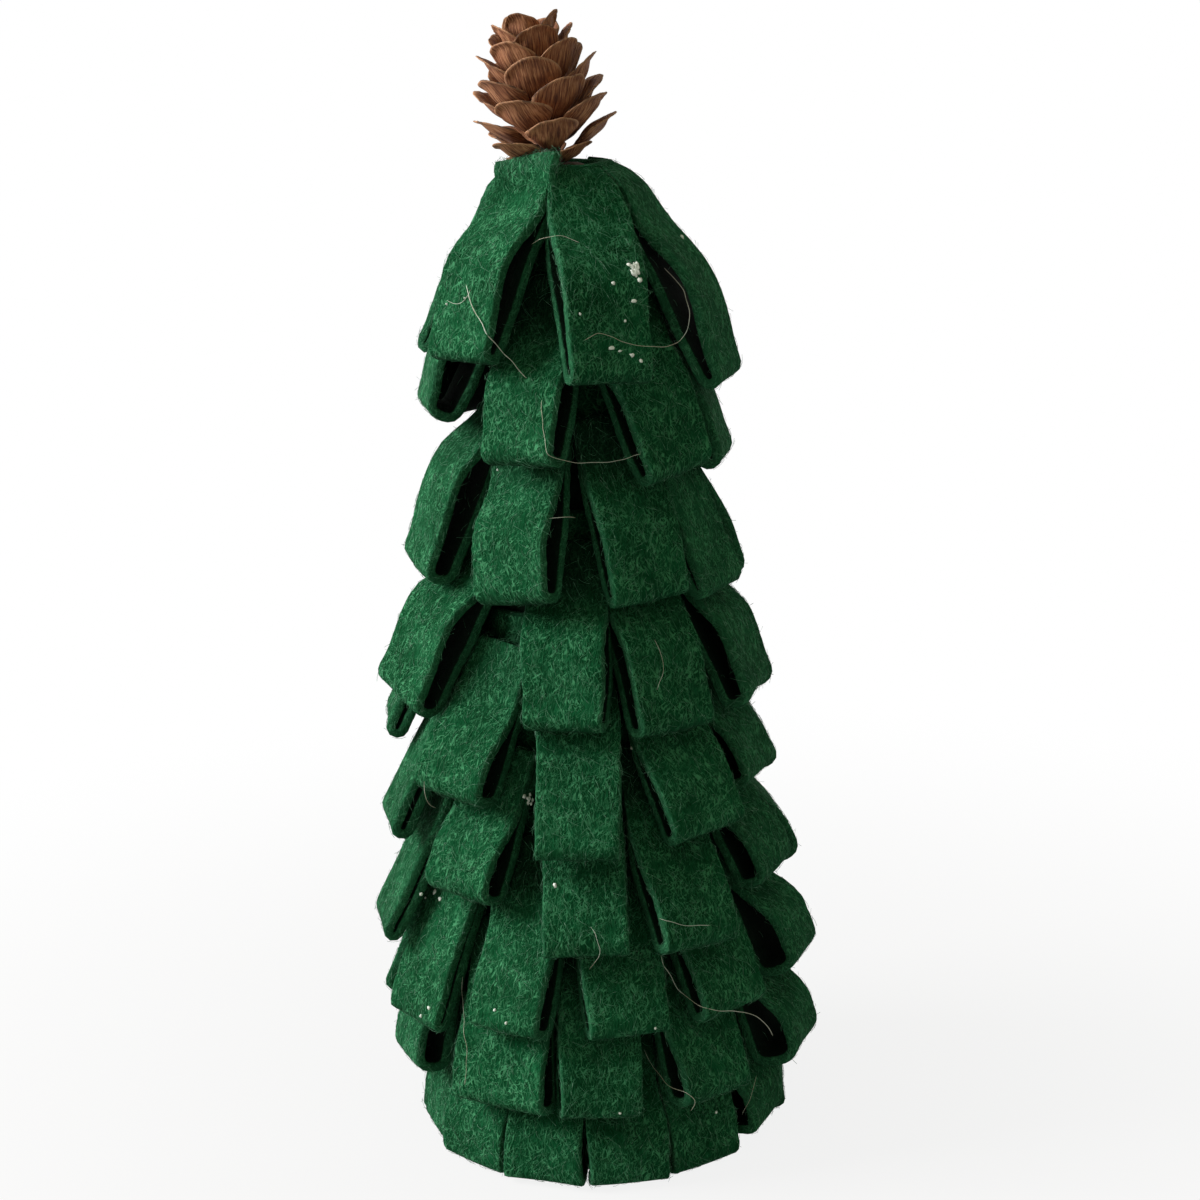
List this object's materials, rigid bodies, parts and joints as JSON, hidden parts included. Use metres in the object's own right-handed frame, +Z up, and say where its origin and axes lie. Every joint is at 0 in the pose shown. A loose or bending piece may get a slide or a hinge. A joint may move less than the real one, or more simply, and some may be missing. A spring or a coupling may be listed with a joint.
{
  "type": "felt christmas tree ornament",
  "caption": "Table-top tree of looped green felt strips glued round a foam cone, with a larch cone as finial.",
  "frame": {"origin": "middle of the foam cone's flat foot, on the surface that the tree stands on", "axes": "+Z up along the tree, -Y towards the front as pictured, +X to its right"},
  "size_m": [0.1049, 0.1001, 0.2609],
  "materials": {
    "felt": "thick matted polyester felt with loose fibres on its surface",
    "foam": "green beaded foam",
    "bark": "dry ribbed cone scales with pale rims",
    "glue": "set hot-melt glue, smooth and glossy"
  },
  "bodies": {
    "root": {"foam_core": "foam", "felt_strip_1": "felt", "felt_strip_2": "felt", "felt_strip_3": "felt", "felt_strip_4": "felt", "felt_strip_5": "felt", "felt_strip_6": "felt", "felt_strip_7": "felt", "felt_strip_8": "felt", "felt_strip_9": "felt", "glue_dab": "glue", "larch_spindle": "bark", "larch_scale_01": "bark", "larch_scale_02": "bark", "larch_scale_03": "bark", "larch_scale_04": "bark", "larch_scale_05": "bark", "larch_scale_06": "bark", "larch_scale_07": "bark", "larch_scale_08": "bark", "larch_scale_09": "bark", "larch_scale_10": "bark", "larch_scale_11": "bark", "larch_scale_12": "bark", "larch_scale_13": "bark", "larch_scale_14": "bark", "larch_scale_15": "bark", "larch_scale_16": "bark", "larch_scale_17": "bark", "larch_scale_18": "bark", "larch_scale_19": "bark", "larch_scale_20": "bark", "larch_scale_21": "bark", "larch_scale_22": "bark", "larch_scale_23": "bark", "larch_scale_24": "bark", "larch_scale_25": "bark", "larch_scale_26": "bark", "larch_scale_27": "bark", "larch_scale_28": "bark", "larch_scale_29": "bark", "larch_scale_30": "bark"}
  },
  "joints": []
}
